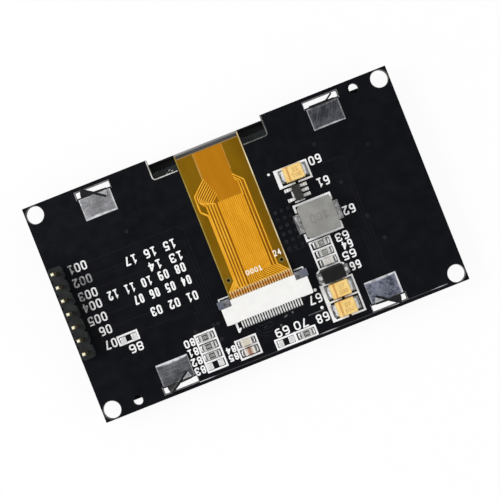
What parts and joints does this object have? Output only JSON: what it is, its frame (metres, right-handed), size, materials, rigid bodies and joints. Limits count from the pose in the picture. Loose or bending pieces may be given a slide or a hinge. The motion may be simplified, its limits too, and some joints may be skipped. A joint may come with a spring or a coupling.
{
  "type": "small oled display module",
  "caption": "Small graphic display panel in a folded steel frame on its driver board, with a bent ribbon cable, slide-lock connector and pin header.",
  "frame": {"origin": "on the surface that the module lies on, under the middle of the board", "axes": "+Z from the display face to the parts side; +X along the board, away from the pin header; +Y towards the edge with the notch and the bent cable"},
  "size_m": [0.0714, 0.042, 0.013],
  "materials": {
    "frame_steel": "black satin lacquer on folded steel sheet",
    "polarizer_film": "dark neutral film, smooth gloss",
    "panel_glass": "clear float glass with ground edges",
    "pixels": "dark bluish pixel field behind the glass",
    "drying_sheet": "pale drying film",
    "silicon": "polished dark silicon",
    "foam": "black closed-cell foam tape",
    "board_laminate": "black solder mask on glass-fibre laminate, pale cut edges",
    "tin": "hot-dipped tin, grey and mottled with bright edges",
    "polyimide": "amber polyimide film over copper traces",
    "stiffener": "plain blue stiffener film",
    "white_plastic": "off-white moulded plastic",
    "grey_plastic": "slate grey moulded plastic",
    "black_plastic": "black moulded plastic",
    "gold_pin": "gold flash on square pins",
    "resistor_ceramic": "dark glazed film on white ceramic, tinned ends",
    "pale_ceramic": "pale fired ceramic, tinned ends",
    "brown_ceramic": "brown fired ceramic, tinned ends",
    "tantalum_mould": "yellow moulded epoxy with a darker stripe",
    "ferrite": "light grey sintered ferrite",
    "copper_wire": "enamelled copper wire",
    "mould_compound": "black moulded compound"
  },
  "bodies": {
    "module": {"bezel": "frame_steel", "polarizer": "polarizer_film", "front_glass": "panel_glass", "pixel_layer": "pixels", "cover_glass": "panel_glass", "drying_sheet": "drying_sheet", "driver_chip": "silicon", "foam_tape": "foam", "pcb": "board_laminate", "lands": "tin", "flex_cable": "polyimide", "flex_stiffener": "stiffener", "connector_housing": "white_plastic", "connector_contacts": "tin", "header_body": "black_plastic", "header_pins": "gold_pin", "header_solder": "tin", "resistor_1": "resistor_ceramic", "resistor_2": "resistor_ceramic", "resistor_3": "resistor_ceramic", "resistor_4": "resistor_ceramic", "resistor_5": "resistor_ceramic", "resistor_6": "resistor_ceramic", "ceramic_cap_1": "pale_ceramic", "ceramic_cap_2": "pale_ceramic", "ceramic_cap_3": "brown_ceramic", "tantalum_cap_1": "tantalum_mould", "tantalum_cap_2": "tantalum_mould", "tantalum_cap_3": "tantalum_mould", "tantalum_leads": "tin", "coil_core": "ferrite", "coil_winding": "copper_wire", "coil_terminals": "tin", "diode_body": "mould_compound", "diode_leads": "tin", "regulator_body": "mould_compound", "regulator_leads": "tin"},
    "lock": {"connector_lock": "grey_plastic"}
  },
  "joints": [
    {"name": "lock_slide", "type": "slide", "parent": "module", "child": "lock", "axis": [0, 1, 0], "range_m": [0, 0.0012]}
  ]
}
